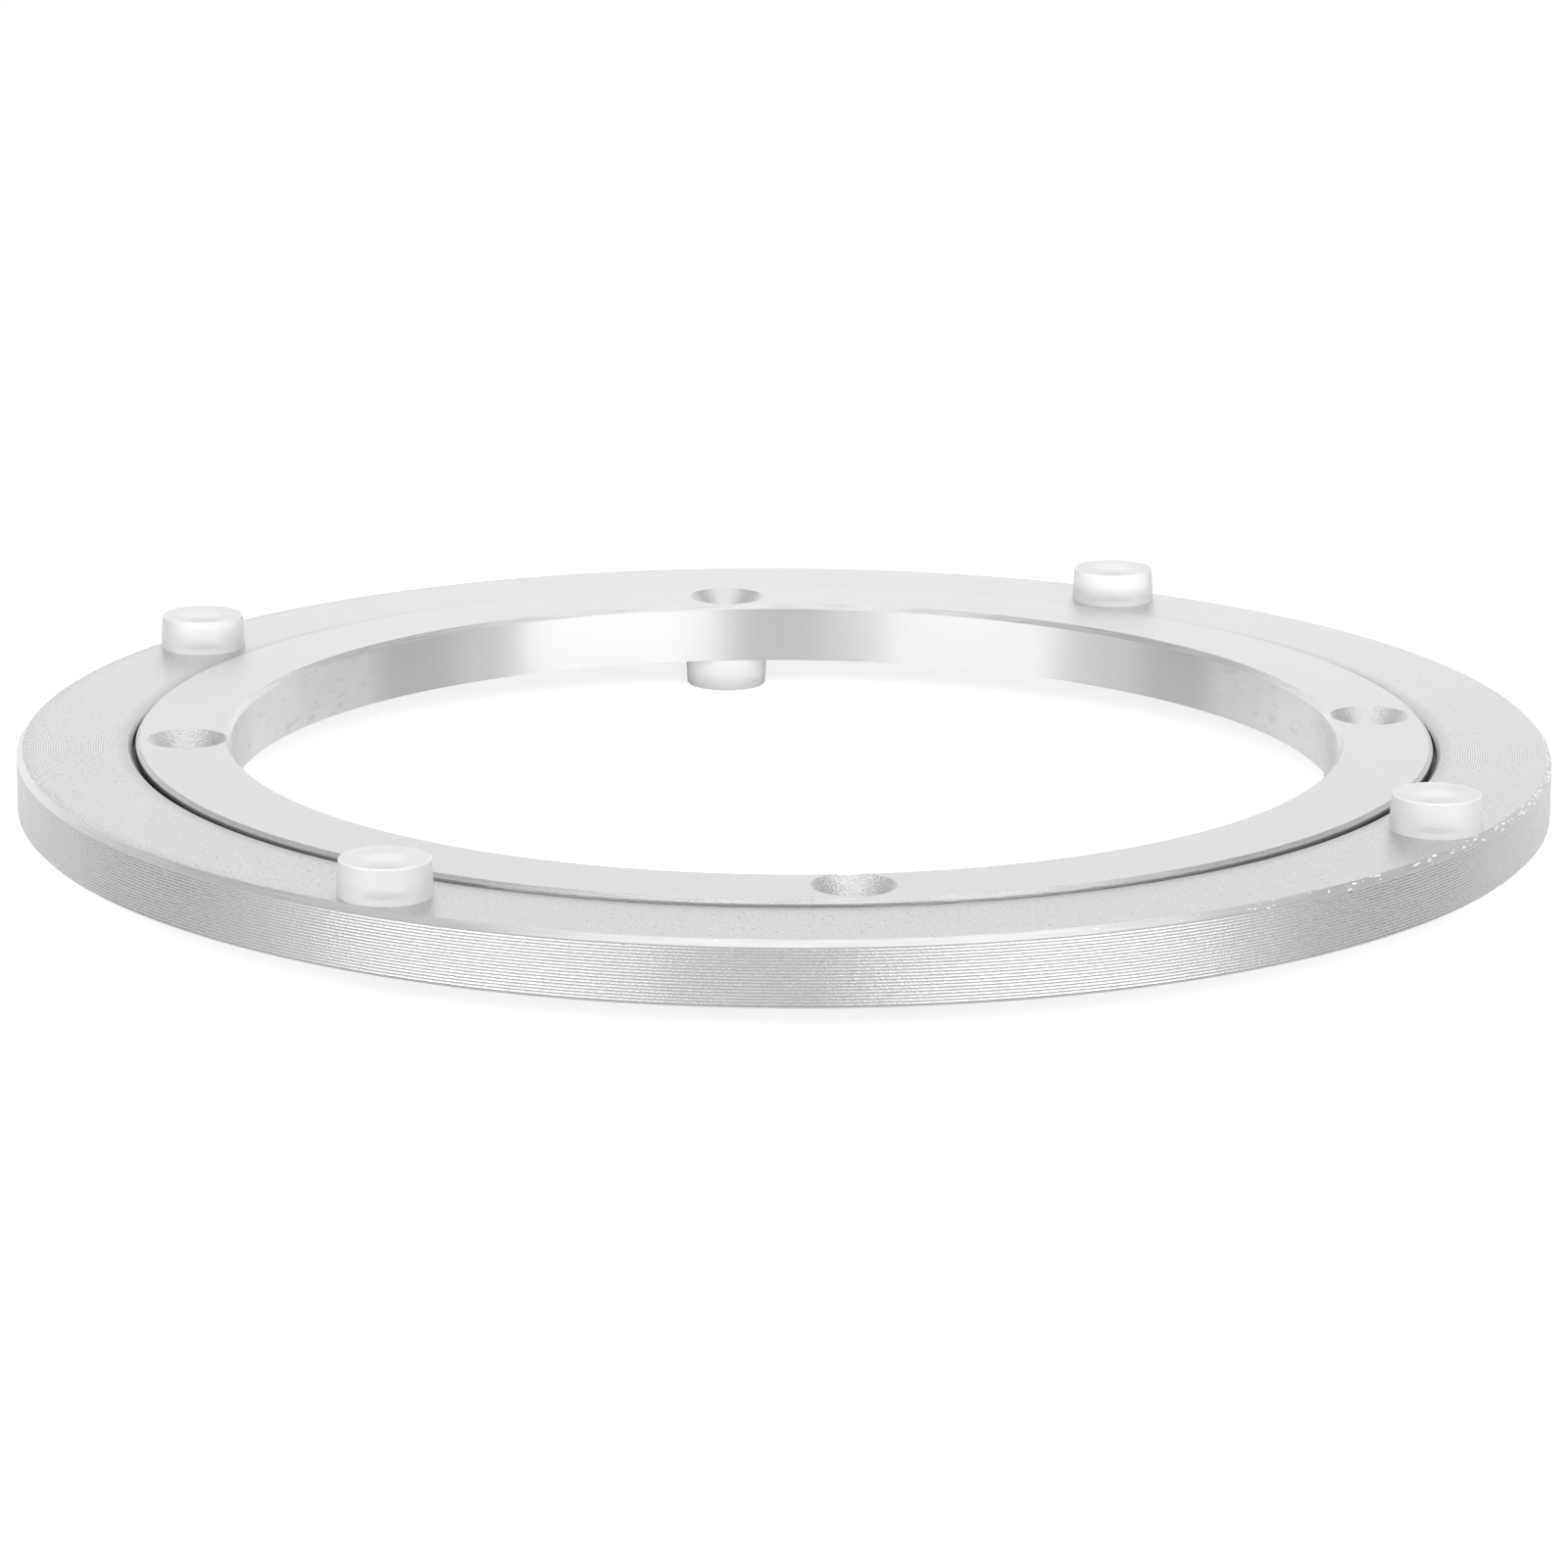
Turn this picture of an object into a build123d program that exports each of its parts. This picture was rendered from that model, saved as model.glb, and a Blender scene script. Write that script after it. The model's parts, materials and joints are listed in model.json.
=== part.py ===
from build123d import *
import os
from math import asin, degrees, radians, sqrt, tan

# A turntable bearing: a fixed inner ring on four soft feet, and an outer ring that turns
# round it on steel balls and carries four soft pads. Millimetres, +Z up, standing on z = 0.

# Rings, both turned from the same plate
OUTER_DIAMETER = 200.0
OUTER_RING_WIDTH = 14.9     # radial, from the gap to the rim
INNER_RING_WIDTH = 12.25    # radial, from the bore to the gap
RING_GAP = 0.5              # radial
RING_THICKNESS = 8.15
INNER_RING_RISE = 0.63      # the inner ring's top stands this far above the outer ring's
RIM_BEVEL = 0.75            # top edge of the rim
RIM_FOOT_BEVEL = 0.45       # lower edge of the rim
MOUTH_BEVEL = 0.5           # outer ring's top edge beside the gap
SHOULDER_BEVEL = 0.5        # inner ring's top edge beside the gap
BORE_BEVEL = 0.68           # top edge of the bore

# Ball race: two facing grooves with flanks at 45 degrees, so a ball touches at four points
BALL_DIAMETER = 4.0
BALL_COUNT = 4
BALL_CLEARANCE = 0.1        # from a ball to each flank
SPACER_CLEARANCE = 0.3      # from a spacer to the flanks and to the balls
FILLER_PLAY = 0.2           # radial, between the filler hole and a ball that goes in through it
PLUG_CLEARANCE = 0.03       # radial, between the plug and the filler hole

# Countersunk screw holes, alike in both rings
HOLE_COUNT = 4
HOLE_DIAMETER = 5.5
COUNTERSINK_DIAMETER = 10.4
COUNTERSINK_ANGLE = 90.0    # full angle of the cone
INNER_HOLE_INSET = 5.6      # from the bore to the holes' centres
OUTER_HOLE_INSET = 6.6      # from the rim to the holes' centres
INNER_HOLE_TURN = 6.2       # first hole's place round the axis, in degrees from +X
OUTER_HOLE_TURN = 59.7      # likewise for the outer ring, in degrees

# Silicone pads, one over the plain end of each screw hole
PAD_HEIGHT = 4.5
PAD_DIAMETER = 11.6

OVERCUT = 1.0               # cutters run this far past the faces they cut
STANDING = (Align.CENTER, Align.CENTER, Align.MIN)

# Heights
INNER_BOTTOM = PAD_HEIGHT
INNER_TOP = INNER_BOTTOM + RING_THICKNESS
OUTER_TOP = INNER_TOP - INNER_RING_RISE
OUTER_BOTTOM = OUTER_TOP - RING_THICKNESS
RACE_HEIGHT = (INNER_BOTTOM + OUTER_TOP) / 2

# Radii
RIM_RADIUS = OUTER_DIAMETER / 2
OUTER_WALL = RIM_RADIUS - OUTER_RING_WIDTH
INNER_WALL = OUTER_WALL - RING_GAP
BORE_RADIUS = INNER_WALL - INNER_RING_WIDTH
RACE_RADIUS = (OUTER_WALL + INNER_WALL) / 2
BALL_RADIUS = BALL_DIAMETER / 2
GROOVE_REACH = sqrt(2) * (BALL_RADIUS + BALL_CLEARANCE)     # ball centre to the groove's root
GROOVE_HALF_MOUTH = GROOVE_REACH - RING_GAP / 2
FILLER_RADIUS = BALL_RADIUS + FILLER_PLAY
FILLER_TURN = OUTER_HOLE_TURN + 180 / HOLE_COUNT


def turned(points, sweep=360):
    """Solid of revolution about Z, from (radius, height) corners."""
    outline = Plane.XZ * make_face(Polyline(*points, close=True))
    return revolve(outline, Axis.Z, revolution_arc=sweep)


def around(radius, height, count, first_turn):
    """Places spread evenly round Z, each turned so that its X points outwards."""
    turns = [first_turn + 360 / count * i for i in range(count)]
    return [Rot(0, 0, turn) * Pos(radius, 0, height) for turn in turns]


def screw_hole():
    """Cutter with its plain end at z = 0 and its countersink a ring's thickness above."""
    spread = tan(radians(COUNTERSINK_ANGLE / 2))
    hole = HOLE_DIAMETER / 2
    sink = COUNTERSINK_DIAMETER / 2
    cone_start = RING_THICKNESS - (sink - hole) / spread
    return turned([
        (0, -OVERCUT),
        (hole, -OVERCUT),
        (hole, cone_start),
        (sink + OVERCUT * spread, RING_THICKNESS + OVERCUT),
        (0, RING_THICKNESS + OVERCUT),
    ])


def inner_blank():
    """Fixed ring before drilling: bevelled bore, raised shoulder and the inner half of the race."""
    return turned([
        (BORE_RADIUS, INNER_BOTTOM),
        (INNER_WALL, INNER_BOTTOM),
        (INNER_WALL, RACE_HEIGHT - GROOVE_HALF_MOUTH),
        (RACE_RADIUS - GROOVE_REACH, RACE_HEIGHT),
        (INNER_WALL, RACE_HEIGHT + GROOVE_HALF_MOUTH),
        (INNER_WALL, INNER_TOP - SHOULDER_BEVEL),
        (INNER_WALL - SHOULDER_BEVEL, INNER_TOP),
        (BORE_RADIUS + BORE_BEVEL, INNER_TOP),
        (BORE_RADIUS, INNER_TOP - BORE_BEVEL),
    ])


def outer_blank():
    """Turning ring before drilling: bevelled rim and the outer half of the race."""
    return turned([
        (OUTER_WALL, OUTER_BOTTOM),
        (RIM_RADIUS - RIM_FOOT_BEVEL, OUTER_BOTTOM),
        (RIM_RADIUS, OUTER_BOTTOM + RIM_FOOT_BEVEL),
        (RIM_RADIUS, OUTER_TOP - RIM_BEVEL),
        (RIM_RADIUS - RIM_BEVEL, OUTER_TOP),
        (OUTER_WALL + MOUTH_BEVEL, OUTER_TOP),
        (OUTER_WALL, OUTER_TOP - MOUTH_BEVEL),
        (OUTER_WALL, RACE_HEIGHT + GROOVE_HALF_MOUTH),
        (RACE_RADIUS + GROOVE_REACH, RACE_HEIGHT),
        (OUTER_WALL, RACE_HEIGHT - GROOVE_HALF_MOUTH),
    ])


def filler_bar(radius):
    """Round bar from the race out through the rim, where the balls go in."""
    length = RIM_RADIUS - RACE_RADIUS + OVERCUT
    bar = Cylinder(radius, length, align=STANDING)
    return Rot(0, 0, FILLER_TURN) * Pos(RACE_RADIUS, 0, RACE_HEIGHT) * Rot(0, 90, 0) * bar


def pad():
    """Round silicone pad standing on z = 0."""
    return Cylinder(PAD_DIAMETER / 2, PAD_HEIGHT, align=STANDING)


def balls():
    """Steel balls, spread evenly so that none sits at the filler hole."""
    places = around(RACE_RADIUS, RACE_HEIGHT, BALL_COUNT, FILLER_TURN + 180 / BALL_COUNT)
    return Compound(children=[place * Sphere(BALL_RADIUS) for place in places])


def spacers():
    """Nylon bars of square section, set corner down along the race between the balls."""
    half_diagonal = GROOVE_REACH - sqrt(2) * SPACER_CLEARANCE
    ball_half_turn = degrees(asin((BALL_RADIUS + SPACER_CLEARANCE) / RACE_RADIUS))
    bar = turned([
        (RACE_RADIUS, RACE_HEIGHT - half_diagonal),
        (RACE_RADIUS + half_diagonal, RACE_HEIGHT),
        (RACE_RADIUS, RACE_HEIGHT + half_diagonal),
        (RACE_RADIUS - half_diagonal, RACE_HEIGHT),
    ], 360 / BALL_COUNT - 2 * ball_half_turn)
    first_turn = FILLER_TURN + 180 / BALL_COUNT + ball_half_turn
    return Compound(children=[Rot(0, 0, first_turn + 360 / BALL_COUNT * i) * bar for i in range(BALL_COUNT)])


os.makedirs("parts", exist_ok=True)

flipped = Rot(180, 0, 0)
inner_places = around(BORE_RADIUS + INNER_HOLE_INSET, INNER_BOTTOM, HOLE_COUNT, INNER_HOLE_TURN)
outer_places = around(RIM_RADIUS - OUTER_HOLE_INSET, OUTER_TOP, HOLE_COUNT, OUTER_HOLE_TURN)

# The inner ring is sunk from above and the outer ring from below, away from the pads.
nodes = {
    "inner_ring": inner_blank() - [place * screw_hole() for place in inner_places],
    "outer_ring": outer_blank() - [place * flipped * screw_hole() for place in outer_places]
    - filler_bar(FILLER_RADIUS),
    "filler_plug": outer_blank() & filler_bar(FILLER_RADIUS - PLUG_CLEARANCE),
    "steel_balls": balls(),
    "ball_spacers": spacers(),
}
for number, place in enumerate(inner_places, 1):
    nodes[f"base_pad_{number}"] = place * flipped * pad()
for number, place in enumerate(outer_places, 1):
    nodes[f"top_pad_{number}"] = place * pad()

for name, solid in nodes.items():
    export_step(solid, f"parts/{name}.step")
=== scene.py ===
# %% [markdown]
# # A lazy susan bearing
# The real object is two aluminium rings, one inside the other, cut on a lathe. The outer ring
# turns round the inner one on steel balls, and small silicone pads stand above and below.
# The solid model is already built and packed, so it is loaded as a fixed frame, and this lesson
# dresses it: finely turned metal, soft pads, light and a camera.

import json
import math

import bmesh
import bpy
from mathutils import Matrix, Vector


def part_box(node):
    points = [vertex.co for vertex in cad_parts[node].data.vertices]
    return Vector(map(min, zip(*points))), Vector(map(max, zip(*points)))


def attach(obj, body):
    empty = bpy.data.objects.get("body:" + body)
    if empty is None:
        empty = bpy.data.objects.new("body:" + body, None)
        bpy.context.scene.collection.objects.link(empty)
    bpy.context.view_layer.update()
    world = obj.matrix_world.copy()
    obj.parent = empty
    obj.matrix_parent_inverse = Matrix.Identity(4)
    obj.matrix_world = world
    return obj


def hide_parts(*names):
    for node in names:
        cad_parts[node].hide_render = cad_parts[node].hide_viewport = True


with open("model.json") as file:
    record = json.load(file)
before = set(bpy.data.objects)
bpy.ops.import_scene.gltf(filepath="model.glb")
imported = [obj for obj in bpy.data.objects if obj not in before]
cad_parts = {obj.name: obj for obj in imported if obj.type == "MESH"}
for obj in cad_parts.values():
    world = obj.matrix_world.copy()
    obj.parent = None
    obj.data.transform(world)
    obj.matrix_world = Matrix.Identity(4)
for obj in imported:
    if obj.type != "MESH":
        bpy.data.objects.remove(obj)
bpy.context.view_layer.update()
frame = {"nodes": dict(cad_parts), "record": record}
print("nodes:", ", ".join(frame["nodes"]))

# %% [markdown]
# ## Sizes
# A dressed piece has to sit exactly where its solid is. Typing the sizes again would let the two
# drift apart, so radii and heights are read from the solids' boxes and from the record's mounts.
# Only what no box can tell, such as a gap or a bevel, is written here.

# %% Read the sizes
MM = 0.001
RING_GAP = 0.5 * MM
BALL_PLAY = 0.1 * MM
mounts = {mount["name"]: mount["dims"] for mount in frame["record"]["mounts"]}


def middle(node):
    """Centre of a node's box."""
    low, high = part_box(node)
    return (Vector(low) + Vector(high)) / 2


outer_low, outer_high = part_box("outer_ring")
inner_low, inner_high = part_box("inner_ring")
ball_low, ball_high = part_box("steel_balls")
outer_bottom, outer_top = outer_low[2], outer_high[2]
inner_bottom, inner_top = inner_low[2], inner_high[2]
rim_radius = outer_high[0]
inner_wall = inner_high[0]
outer_wall = inner_wall + RING_GAP
bore_radius = mounts["centre_bore"]["r_mm"] * MM
hole_radius = mounts["base_screws"]["hole_r_mm"] * MM
race_radius = inner_wall + RING_GAP / 2
race_height = (ball_low[2] + ball_high[2]) / 2
ball_radius = (ball_high[2] - ball_low[2]) / 2
groove_reach = math.sqrt(2) * (ball_radius + BALL_PLAY)
groove_half_mouth = groove_reach - RING_GAP / 2
print(f"rim {rim_radius / MM:.2f}, gap at {inner_wall / MM:.2f}, bore {bore_radius / MM:.2f} mm")

# %% [markdown]
# ## Working by hand, in code
# Every piece below starts as a primitive and is shaped in edit mode, as it would be with a mouse.
# An operator works on whatever is selected, and the loaded solids start out selected, so the
# helpers clear the selection first. One opens a piece for editing, and another selects points or
# faces by where they lie.

# %% Selection helpers
SAME_PLACE = 1e-6


def choose(piece):
    """Selects one piece and nothing else, and makes it active."""
    bpy.ops.object.select_all(action="DESELECT")
    piece.select_set(True)
    bpy.context.view_layer.objects.active = piece


def open_piece(piece):
    """Enters edit mode on one piece."""
    choose(piece)
    bpy.ops.object.mode_set(mode="EDIT")


def close_piece():
    """Leaves edit mode."""
    bpy.ops.object.mode_set(mode="OBJECT")


def pick(piece, test, faces=False):
    """Selects the points, or the faces, that pass a test, and returns how many there are."""
    bpy.ops.mesh.select_mode(type="FACE" if faces else "VERT")
    bpy.ops.mesh.select_all(action="DESELECT")
    mesh = bmesh.from_edit_mesh(piece.data)
    chosen = [part for part in (mesh.faces if faces else mesh.verts) if test(part)]
    for part in chosen:
        part.select_set(True)
    mesh.select_flush_mode()
    bmesh.update_edit_mesh(piece.data)
    return len(chosen)


def at(x, *heights):
    """Test for a point of a flat section that lies at x and at one of some heights."""
    def test(point):
        level_with = any(abs(point.co.z - z) < SAME_PLACE for z in heights)
        return level_with and abs(point.co.x - x) < SAME_PLACE
    return test


# %% [markdown]
# ## Shader sums
# A finish such as turned metal is mostly arithmetic on positions. Wiring that by hand takes dozens
# of Math nodes, so one small class wraps a socket: Python's own signs add the nodes, and any other
# node comes from a single method.

# %% Socket wrapper


class Wire:
    """An output socket of a node tree, which can be used in sums."""

    def __init__(self, tree, socket=None):
        self.tree = tree
        self.socket = socket

    def node(self, kind, settings=None, inputs=None, output=0):
        """Adds a node, sets its settings, then its sockets, and returns one of its outputs."""
        made = self.tree.nodes.new(kind)
        for name, value in (settings or {}).items():
            setattr(made, name, value)
        for name, value in (inputs or {}).items():
            if isinstance(value, Wire):
                self.tree.links.new(value.socket, made.inputs[name])
            else:
                made.inputs[name].default_value = value
        return Wire(self.tree, made.outputs[output] if made.outputs else None)

    def other(self, output):
        """Another output of the same node."""
        return Wire(self.tree, self.socket.node.outputs[output])

    def maths(self, operation, *values):
        """Adds a Math node."""
        return self.node("ShaderNodeMath", {"operation": operation}, dict(enumerate(values)))

    def __add__(self, other):
        return self.maths("ADD", self, other)

    def __sub__(self, other):
        return self.maths("SUBTRACT", self, other)

    def __rsub__(self, other):
        return self.maths("SUBTRACT", other, self)

    def __mul__(self, other):
        return self.maths("MULTIPLY", self, other)

    def __truediv__(self, other):
        return self.maths("DIVIDE", self, other)

    def __pow__(self, other):
        return self.maths("POWER", self, other)

    __radd__ = __add__
    __rmul__ = __mul__

    def clamp(self, low, high):
        """The value moved from low..high to 0..1 and held there."""
        inputs = {"Value": self, "From Min": low, "From Max": high}
        return self.node("ShaderNodeMapRange", {"clamp": True}, inputs)


print("signs that add nodes: + - * / **")

# %% [markdown]
# ## Places, noise and colours
# Everything on these rings was cut while they turned, so most marks follow the turning axis. A UV
# map could carry them, but it would need a seam and an unwrapping. Here the places come from Object
# coordinates, and marks are noise or waves on them. A few helpers cover what every finish needs:
# an empty node tree, a place and its parts, noise with grains of a given size, and two colours mixed.

# %% Places, noise and colours
MIX_SHARE, MIX_FIRST, MIX_SECOND, MIX_COLOUR = 0, 6, 7, 2
NOISE_DETAIL = 2.0


def start_nodes(owner):
    """Empties the node tree of a new material or world, and returns a wire to add nodes with."""
    owner.use_nodes = True
    owner.node_tree.nodes.clear()
    return Wire(owner.node_tree)


def object_place(wire):
    """Object coordinates."""
    return wire.node("ShaderNodeTexCoord", output="Object")


def split(wire, vector):
    """The three parts of a place or a direction."""
    x = wire.node("ShaderNodeSeparateXYZ", inputs={"Vector": vector})
    return x, x.other("Y"), x.other("Z")


def length(x, y):
    """Distance from the middle of a plane."""
    return (x * x + y * y) ** 0.5


def speckle(wire, place, size):
    """Noise from 0 to 1 whose grains are about a size across."""
    inputs = {"Vector": place, "Scale": 1 / size, "Detail": NOISE_DETAIL}
    return wire.node("ShaderNodeTexNoise", inputs=inputs)


def grey(tone):
    """A colour without hue."""
    return (tone, tone, tone, 1)


def mixed(wire, share, first, second, blend="MIX"):
    """A colour made from two, through the colour sockets of a Mix node."""
    settings = {"data_type": "RGBA", "blend_type": blend}
    inputs = {MIX_SHARE: share, MIX_FIRST: first, MIX_SECOND: second}
    return wire.node("ShaderNodeMix", settings, inputs, MIX_COLOUR)


print("colour sockets of a Mix node:", MIX_FIRST, "and", MIX_SECOND)

# %% [markdown]
# ## Metal to draw on
# The rings' metal is nearly even, with soft patches a few millimetres wide that are a little
# lighter or shinier. That is the ground for all marks. A small class holds it: where a point lies
# round the axis, and the light, height and shine that it has so far. A mark is then a function
# that changes these, so a finish can be put together from the marks that its surface shows.

# %% Metal to draw on
PATCH = 7 * MM
REGION = 25 * MM
PATCH_HEIGHT = 0.01 * MM
PATCH_LIGHT = 0.05
PLAIN_LIGHT = 0.96


class TurnedMetal:
    """A point's place on a turned ring, and the light, height and shine that marks give it."""

    def __init__(self, wire):
        self.wire = wire
        self.place = object_place(wire)
        x, y, self.z = split(wire, self.place)
        self.radius = length(x, y)
        self.turn = wire.maths("ARCTAN2", y, x)
        self.right = wire.maths("COSINE", self.turn)
        self.back = wire.maths("SINE", self.turn)
        self.patch = speckle(wire, self.place, PATCH)
        self.light = PLAIN_LIGHT + (self.patch - 0.5) * PATCH_LIGHT
        self.height = (self.patch - 0.5) * PATCH_HEIGHT
        self.metallic = 1.0

    def grains(self, size):
        """Round grains about a size across."""
        return speckle(self.wire, self.place, size)

    def streaks(self, across, along):
        """Noise drawn out along the cut: fine across it, long round the axis."""
        inputs = {"X": self.radius / across, "Y": self.turn * rim_radius / along, "Z": self.z / across}
        return speckle(self.wire, self.wire.node("ShaderNodeCombineXYZ", inputs=inputs), 1.0)

    def front(self):
        """1 on the front of a ring and 0 at the back; it weights grain and the painted shade in front.
        """
        return self.back.clamp(0.7, -0.2)

    def grain_and_front_shade(self):
        """How much grain and painted shade show: all in front, about a third at the back."""
        return 0.35 + self.front() * 0.65

    def off_sides(self):
        """1 at the front and the back of a ring, 0 at its sides."""
        return (self.back * self.back).clamp(0.15, 0.6)


print(f"patches of {PATCH / MM:.0f} mm in regions of {REGION / MM:.0f} mm")

# %% [markdown]
# ## Marks of the lathe
# A lathe leaves rings on a faced top, lines on the rim, streaks along a smooth wall and torn metal in a
# countersink, and sanding leaves a fine grain on the tops. The rings are waves on the radius, drawn as a
# painted sheen, and the rim's lines are waves on the height, drawn as painted highlight and shade; the
# rest is noise. In the photograph the rings show at the sides and the lines in front, so each fades out
# elsewhere. Sanding also darkens the front of the tops a little, as painted shade.

# %% Lathe marks
GRAIN = 0.22 * MM
GRAIN_DEPTH = 0.04 * MM
GRAIN_LIGHT = 0.66
TORN_GRAIN = 0.34 * MM
TORN_LIGHT = 0.4
CUT_WIDTH = 0.1 * MM
SHORT_CUT = 0.45 * MM
LONG_CUT = 2.5 * MM
FACE_FEED = 0.32 * MM
FEED_WAVER = 3.0
RIM_FEED = 0.386 * MM
RIM_BEVEL = 0.75 * MM
RIM_FOOT_BEVEL = 0.45 * MM
rim_foot = outer_bottom + RIM_FOOT_BEVEL
rim_head = outer_top - RIM_BEVEL
scallops = round((rim_head - rim_foot) / RIM_FEED)
rim_pitch = (rim_head - rim_foot) / scallops


def sanding(metal, strength):
    """Fine grain, which also darkens the face a little, more in front as painted shade."""
    grain = metal.grains(GRAIN)
    shown = metal.grain_and_front_shade()
    metal.light += (grain - GRAIN_LIGHT) * shown * strength
    metal.height += (grain - 0.5) * shown * (GRAIN_DEPTH * strength)


def feed_rings_and_sheen(metal, strength, edge=None):
    """Feed rings as a painted sheen: at both sides, or only beside an edge on the right."""
    sides = (metal.right * metal.right).clamp(0.72, 0.95)
    front_half = metal.back.clamp(0.1, -0.08)
    region = metal.grains(REGION).clamp(0.25, 0.55)
    shown = sides * front_half * region
    if edge:
        right_half = metal.right.clamp(0.0, 0.5)
        shown = shown * metal.radius.clamp(*edge) * right_half
    wave = metal.radius * (2 * math.pi / FACE_FEED) + metal.patch * FEED_WAVER
    metal.light += metal.wire.maths("SINE", wave) * shown * strength


def painted_rim_lines(metal, strength):
    """A painted highlight and a painted shade line for each scallop of the rim."""
    wave = (metal.z - rim_foot) * (2 * math.pi / rim_pitch)
    uneven = 0.5 + metal.patch
    metal.light += metal.wire.maths("SINE", wave) * metal.off_sides() * uneven * strength


def short_streaks(metal, depth):
    """Short torn streaks on the rim, a quarter as deep at its sides as where its lines show."""
    torn = metal.streaks(CUT_WIDTH, SHORT_CUT) - 0.5
    shown = 0.25 + metal.off_sides() * 0.75
    metal.height += torn * shown * depth


def long_streaks(metal, depth):
    """Long even streaks of a smooth cut."""
    metal.height += (metal.streaks(CUT_WIDTH, LONG_CUT) - 0.5) * depth


def chatter(metal, depth):
    """Torn metal where a countersink shook."""
    torn = metal.grains(TORN_GRAIN) - 0.5
    shown = metal.grain_and_front_shade()
    metal.light += torn * shown * TORN_LIGHT
    metal.height += torn * shown * depth


print(f"rim: {scallops} lines, {rim_pitch / MM:.3f} mm apart")

# %% [markdown]
# ## Marks of use
# These rings have been handled. There are specks and scuffs on the outer top, and nicks and rubbing on
# the bevels. The rest is painted light and shade: a painted sheen with smudges on the bore's side walls,
# painted shade on the gap's walls, and painted shade beside the gap on the outer top. They could be
# painted by hand on an image, but noise that is held to the right area needs no image and stays sharp
# close up.

# %% Marks of use
SPECK = 0.55 * MM
SCUFF = 0.4 * MM
SCUFFED = (rim_radius - 2.6 * MM, rim_radius - 1.2 * MM)
# radii over which the painted shade beside the gap fades out
BESIDE_GAP = (outer_wall + 2.2 * MM, outer_wall + 0.8 * MM)
# heights over which the painted shade in the gap sets in
SHADED_DEPTH = (outer_top + 0.12 * MM, outer_top - 0.12 * MM)
RUB = (0.14 * MM, 8 * MM)
NICK = (0.4 * MM, 1.4 * MM)
SMUDGE = (1.2 * MM, 4.0 * MM)
NICKED_RIGHT = 0.17
NICK_LIGHT = 0.4
LEFT_LIGHT = 0.3
SHEEN_SHIFT = 0.0175
SHEEN_PATCHES = 0.2
SMUDGE_DARK = 0.16


def specks(metal, strength):
    """Dark specks in some regions of the front, where they add to the painted shade."""
    region = metal.grains(REGION).clamp(0.3, 0.6)
    speck = metal.grains(SPECK).clamp(0.36, 0.28)
    metal.light -= speck * region * metal.front() * strength


def scuffs(metal, strength):
    """Scuffed metal beside the rim's edge, on the left."""
    scuff = metal.grains(SCUFF).clamp(0.52, 0.4)
    left = metal.right.clamp(-0.3, -0.8)
    metal.light -= scuff * left * metal.radius.clamp(*SCUFFED) * strength


def shade_beside_gap(metal, strength):
    """Painted shade on the outer ring's top, darkest beside the gap."""
    metal.light *= 1.0 - metal.radius.clamp(*BESIDE_GAP) * strength


def rubbing(metal, strength):
    """Long rubbed streaks along a bevel."""
    metal.light += (metal.streaks(*RUB) - 0.5) * strength


def nicks(metal, strength):
    """White nicks, most of them on the right, and a paler bevel on the far left."""
    right = metal.right.clamp(0.3, 0.9)
    far_left = metal.right.clamp(-0.7, -0.95)
    struck = metal.streaks(*NICK) + right * NICKED_RIGHT
    nick = struck.clamp(0.74, 0.77) * strength
    metal.metallic = 1.0 - nick
    metal.light += nick * NICK_LIGHT + far_left * LEFT_LIGHT


def sheen_and_smudges(metal, strength):
    """A painted sheen with smudges, lighter on the left and right walls of the bore."""
    right = metal.right - SHEEN_SHIFT
    sides = (right * right).clamp(0.585, 0.665)
    smudge = metal.streaks(*SMUDGE).clamp(0.57, 0.75)
    cover = strength + (metal.patch - 0.5) * SHEEN_PATCHES - smudge * SMUDGE_DARK
    # the sides of the wall are made lighter as a painted sheen, less where smudged
    metal.light += sides * cover


def gap_shade(metal, strength):
    """Painted shade on the gap's walls, below the outer ring's top and most of it at the sides."""
    sides = (metal.right * metal.right).clamp(0.16, 0.5)
    metal.light *= 1.0 - metal.z.clamp(*SHADED_DEPTH) * sides * strength


print(f"nicks {NICK[1] / MM:.1f} mm long, smudges {SMUDGE[1] / MM:.1f} mm")

# %% [markdown]
# ## Turned aluminium
# Both rings are one metal, but each of their surfaces was cut or worn in its own way, and some carry
# painted light or shade: the rim's top bevel is a little paler, and the rim, its foot bevel and the
# gap's walls are darker. Ten materials written out in full would repeat most of their nodes, so one
# function makes them all from a tone, a roughness and a list of marks. The bored wall was also polished
# round the axis, which draws its highlights out upright, and the shader's anisotropy does that.

# %% Aluminium finishes
FACED = grey(0.64)
# a darker tone for the turned rim, its foot bevel and the gap's walls: partly their finish, partly
# painted shade
TURNED_AND_SHADED = grey(0.535)
BORED = grey(0.73)
# a paler tone for the rim's top bevel: a painted highlight
LIT_BEVEL = grey(0.68)
# a dark tone for the ball grooves: painted shade deep in the gap
RACE_SHADE = grey(0.38)
ROUGHNESS_SPREAD = 0.08
ROUND_THE_AXIS = 0.25
BORE_EDGE = (bore_radius + 4.5 * MM, bore_radius + 1.5 * MM)


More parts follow.
